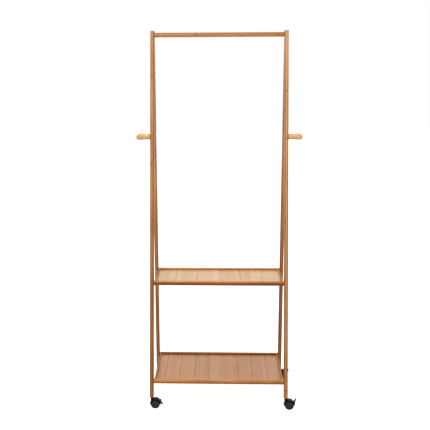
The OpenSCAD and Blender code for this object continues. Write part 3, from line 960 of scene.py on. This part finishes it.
def make_camera():
    """The camera's place, turn and lens come from matching the frame's outline to the photograph's view."""
    place = (0.0039, -3.926, 1.357)
    yaw, pitch, roll = math.radians(2.298), math.radians(90 - 7.746), math.radians(-0.19)
    camera = bpy.data.objects.new("camera", bpy.data.cameras.new("camera"))
    bpy.context.scene.collection.objects.link(camera)
    turn = Matrix.Rotation(yaw, 4, "Z") @ Matrix.Rotation(pitch, 4, "X") @ Matrix.Rotation(roll, 4, "Z")
    camera.matrix_world = Matrix.Translation(place) @ turn
    camera.data.sensor_width = 36
    camera.data.lens = 73.98
    camera.data.shift_x = 0.0705
    camera.data.clip_end = 50
    bpy.context.scene.camera = camera


def make_light(name, place, target, size, power):
    """A round soft light that faces a point."""
    light = bpy.data.lights.new(name, "AREA")
    light.shape = "DISK"
    light.size = size
    light.energy = power
    obj = bpy.data.objects.new(name, light)
    bpy.context.scene.collection.objects.link(obj)
    away = Vector(place) - Vector(target)
    obj.matrix_world = Matrix.Translation(place) @ away.to_track_quat("Z", "Y").to_matrix().to_4x4()


def make_stage():
    """A pale floor without edges in view, even surrounding light, and soft lights above."""
    world = bpy.data.worlds.new("studio")
    world.use_nodes = True
    world.node_tree.nodes["Background"].inputs["Color"].default_value = (1, 1, 1, 1)
    world.node_tree.nodes["Background"].inputs["Strength"].default_value = 1.0
    bpy.context.scene.world = world
    bpy.context.scene.view_settings.view_transform = "Standard"
    middle = (0, 0, 0.9)
    make_light("key", (-0.5, -2.2, 3.2), middle, 0.8, 50)
    make_light("top", (0, 0, 3.6), middle, 1.6, 40)

    floor = new_piece("floor", lambda bm: bmesh.ops.create_circle(bm, cap_ends=True, radius=30, segments=96))
    g = Graph("floor_paper")
    place = g.object_place()
    tone = g.noise(place, scale=2, detail=3)
    paper = g.ramp(tone, (0.3, (0.38, 0.38, 0.38, 1)), (0.7, (0.42, 0.42, 0.42, 1)))
    g.surface(Base_Color=paper, Roughness=0.9, Specular_IOR_Level=0.1)
    g.surface(Emission_Color=(1, 1, 1, 1), Emission_Strength=0.88)
    dress(floor, g.material)


# ---------------------------------------------------------------- the rack

def dress_frame():
    """Bamboo on the CAD pieces that are shown as they are, each with its own grain."""
    nodes = frame["nodes"]
    for k, corner in enumerate(CORNERS):
        look = REAR_LEG_LOOK if corner.startswith("rear") else FRONT_LEG_LOOK
        material = bamboo(f"bamboo_{corner}_leg", look, leg_grain(corner), LEG_SEED + k, LEG_SHIFTS[corner])
        dress(nodes[f"{corner}_leg"], material)
    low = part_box("hanging_rail")[0].z
    grain = Grain("Z", "Y", "X", HANGING_RAIL_D / RAIL_STRIPS, low, RAIL_STRIPS)
    dress(nodes["hanging_rail"], bamboo("bamboo_hanging_rail", TOP_RAIL_LOOK, grain, TOP_RAIL_SEED))
    for s, shelf in enumerate(SHELVES):
        for e, end in enumerate(("front", "rear")):
            node = f"{shelf}_{end}_rail"
            look = FRONT_RAIL_LOOK if end == "front" else RAIL_LOOK
            grain = Grain("Z", "Y", "X", RAIL_HEIGHT / RAIL_STRIPS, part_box(node)[0].z, RAIL_STRIPS)
            seed = RAIL_SEED + 2 * s + e
            dress(nodes[node], bamboo(f"bamboo_{node}", look, grain, seed, RAIL_SHIFTS[node]))
        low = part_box(f"{shelf}_left_rail")[0].z
        grain = Grain("Z", "X", "Y", RAIL_HEIGHT / SIDE_RAIL_STRIPS, low, SIDE_RAIL_STRIPS)
        side = bamboo(f"bamboo_{shelf}_side_rails", RAIL_LOOK, grain, SIDE_RAIL_SEED + s)
        for end in ("left", "right"):
            dress(nodes[f"{shelf}_{end}_rail"], side)
    for shelf, look, parts in (("mid", PALE_LOOK, MID_SLAT_STRIPS), ("lower", TAN_LOOK, LOWER_SLAT_STRIPS)):
        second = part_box(f"{shelf}_slat_2")
        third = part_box(f"{shelf}_slat_3")
        pitch = third[0].x - second[0].x
        gap = third[0].x - second[1].x
        grain = Grain("X", "Z", "Y", pitch / parts, second[0].x - gap / 2, board=pitch)
        material = bamboo(f"bamboo_{shelf}_slats", look, grain, SLAT_SEED + parts)
        for k in range(1, count_nodes(f"{shelf}_slat_") + 1):
            dress(nodes[f"{shelf}_slat_{k}"], material)


def dress_fittings():
    """Metal and wood on the hidden CAD pieces."""
    nodes = frame["nodes"]
    for node in ("barrel_nuts", "peg_screws", "caster_stems"):
        dress(nodes[node], ZINC)
    dress(nodes["leg_inserts"], BRASS)
    dress(nodes["apex_dowels"], PEG_WOOD)


make_camera()
make_stage()
dress_frame()
dress_fittings()
for corner in CORNERS:
    caster = Caster(corner)
    for which in WHEELS:
        make_wheel(caster, which)
    make_hood(caster)
    make_lever(caster)
    make_axle(caster)
for side in (-1, 1):
    make_peg(side)
make_bolts()
